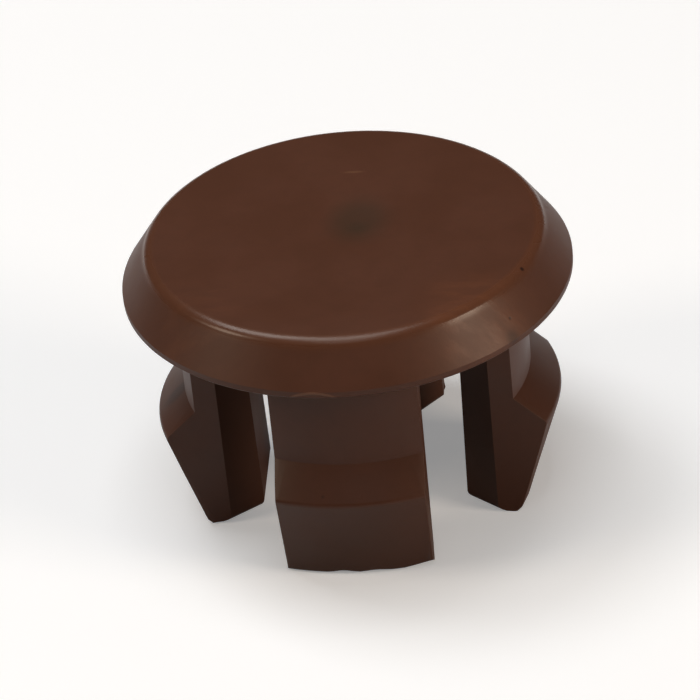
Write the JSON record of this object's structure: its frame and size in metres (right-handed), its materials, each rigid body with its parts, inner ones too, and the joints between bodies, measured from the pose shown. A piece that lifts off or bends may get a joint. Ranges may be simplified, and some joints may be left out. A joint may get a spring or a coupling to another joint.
{
  "type": "plastic hole plug",
  "caption": "Snap-in plug with a round bevelled head and barbed spring legs, which closes a round hole in a sheet panel.",
  "frame": {"origin": "centre of the head's underside, which lies on the panel", "axes": "+Z along the plug's axis, out of the panel through the head; a leg lies along each of +X, +Y, -X and -Y"},
  "size_m": [0.02, 0.02, 0.0132],
  "materials": {
    "brown_plastic": "satin, as moulded"
  },
  "bodies": {
    "root": {"hole_plug": "brown_plastic"}
  },
  "joints": []
}
